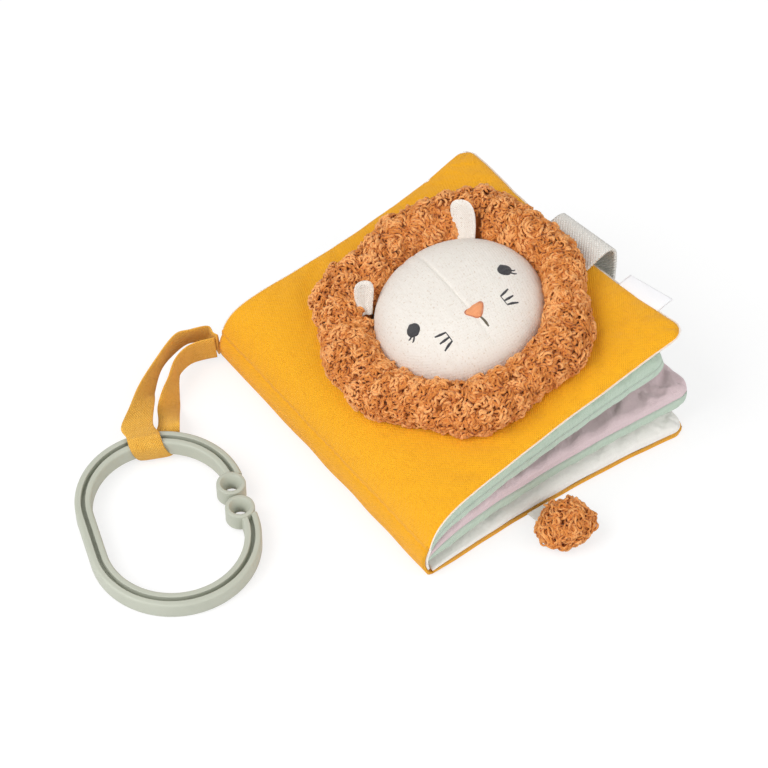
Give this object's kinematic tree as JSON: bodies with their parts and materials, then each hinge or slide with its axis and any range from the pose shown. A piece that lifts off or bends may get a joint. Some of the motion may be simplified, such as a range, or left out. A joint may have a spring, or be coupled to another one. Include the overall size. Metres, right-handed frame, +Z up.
{
  "type": "crinkle cloth book",
  "caption": "Soft cloth baby book with padded crinkle leaves, a stuffed lion's head on its cover, a fold-over strap, a fleece tail, and a link ring on a cloth loop.",
  "frame": {"origin": "middle of the back cover's flat underside, where the book lies on the table", "axes": "+Z up, out of the back cover; +X from the spine to the fore-edge; +Y from the tail edge of the pages to their head edge"},
  "size_m": [0.2546, 0.1884, 0.0829],
  "materials": {
    "mustard_cloth": "soft woven cotton",
    "cream_cloth": "soft woven cotton",
    "mint_cloth": "smooth soft cloth",
    "pink_cloth": "smooth soft cloth",
    "face_cloth": "brushed soft cloth",
    "caramel_fleece": "curly fleece",
    "cream_twill": "fine ribbed twill",
    "white_tape": "smooth woven tape, no print",
    "dark_thread": "satin embroidery thread",
    "apricot_thread": "satin embroidery thread",
    "olive_thread": "satin embroidery thread",
    "wadding": "loose polyester fibre",
    "crinkle_film": "thin clear crinkle film",
    "sage_plastic": "satin moulded plastic"
  },
  "bodies": {
    "back_cover": {"back_lining": "cream_cloth", "back_crinkle_film": "crinkle_film", "back_wadding": "wadding", "back_outer_cloth": "mustard_cloth", "spine_cloth_back": "mustard_cloth", "spine_lining_back": "cream_cloth"},
    "leaf_2": {"leaf_2_front_cloth": "pink_cloth", "leaf_2_crinkle_film": "crinkle_film", "leaf_2_wadding": "wadding", "leaf_2_back_cloth": "mint_cloth", "spine_cloth_leaf_2": "mustard_cloth", "spine_lining_leaf_2": "cream_cloth"},
    "leaf_1": {"leaf_1_front_cloth": "mint_cloth", "leaf_1_crinkle_film": "crinkle_film", "leaf_1_wadding": "wadding", "leaf_1_back_cloth": "mint_cloth", "spine_cloth_leaf_1": "mustard_cloth", "spine_lining_leaf_1": "cream_cloth"},
    "front_cover": {"front_outer_cloth": "mustard_cloth", "front_crinkle_film": "crinkle_film", "front_wadding": "wadding", "front_lining": "cream_cloth", "spine_cloth_front": "mustard_cloth", "spine_lining_front": "cream_cloth", "head_back": "face_cloth", "head_filling": "wadding", "face_cloth": "face_cloth", "mane": "caramel_fleece", "ear_left": "face_cloth", "ear_right": "face_cloth", "eye_left": "dark_thread", "eye_right": "dark_thread", "whiskers_left": "dark_thread", "whiskers_right": "dark_thread", "nose": "apricot_thread", "mouth": "olive_thread", "strap_base": "cream_twill"},
    "strap_flap": {"strap_flap": "cream_twill"},
    "tag": {"tag": "white_tape"},
    "ring_loop": {"ring_loop": "mustard_cloth"},
    "link_ring": {"link_ring": "sage_plastic"},
    "tail": {"tail_stem": "cream_twill", "tail_tip": "caramel_fleece"}
  },
  "joints": [
    {"name": "leaf_2_fold", "type": "hinge", "parent": "back_cover", "child": "leaf_2", "pos_m": [-0.07061, 0, 0.0065], "axis": [0, -1, 0], "range_deg": [0, 70]},
    {"name": "leaf_1_fold", "type": "hinge", "parent": "leaf_2", "child": "leaf_1", "pos_m": [-0.07098, 0, 0.0105], "axis": [0, -1, 0], "range_deg": [0, 70]},
    {"name": "front_cover_fold", "type": "hinge", "parent": "leaf_1", "child": "front_cover", "pos_m": [-0.07017, 0, 0.0145], "axis": [0, -1, 0], "range_deg": [0, 110]},
    {"name": "strap_fold", "type": "hinge", "parent": "front_cover", "child": "strap_flap", "pos_m": [0.06184, -0.004, 0.07288], "axis": [0, -1, 0], "range_deg": [0, 150]},
    {"name": "tag_fold", "type": "hinge", "parent": "front_cover", "child": "tag", "pos_m": [0.06143, -0.0443, 0.06622], "axis": [0, -1, 0], "range_deg": [-45, 45]},
    {"name": "loop_swing", "type": "hinge", "parent": "back_cover", "child": "ring_loop", "pos_m": [-0.0708, 0.0753, 0.011], "axis": [0, 0, -1], "range_deg": [-15, 60]},
    {"name": "ring_swing", "type": "hinge", "parent": "ring_loop", "child": "link_ring", "pos_m": [-0.12558, 0.04921, 0.0073], "axis": [-0.9171, 0.3987, 0], "range_deg": [-60, 80]},
    {"name": "tail_swing", "type": "hinge", "parent": "back_cover", "child": "tail", "pos_m": [-0.0093, -0.07266, 0.0026], "axis": [-1, 0, 0], "range_deg": [-60, 30]}
  ]
}
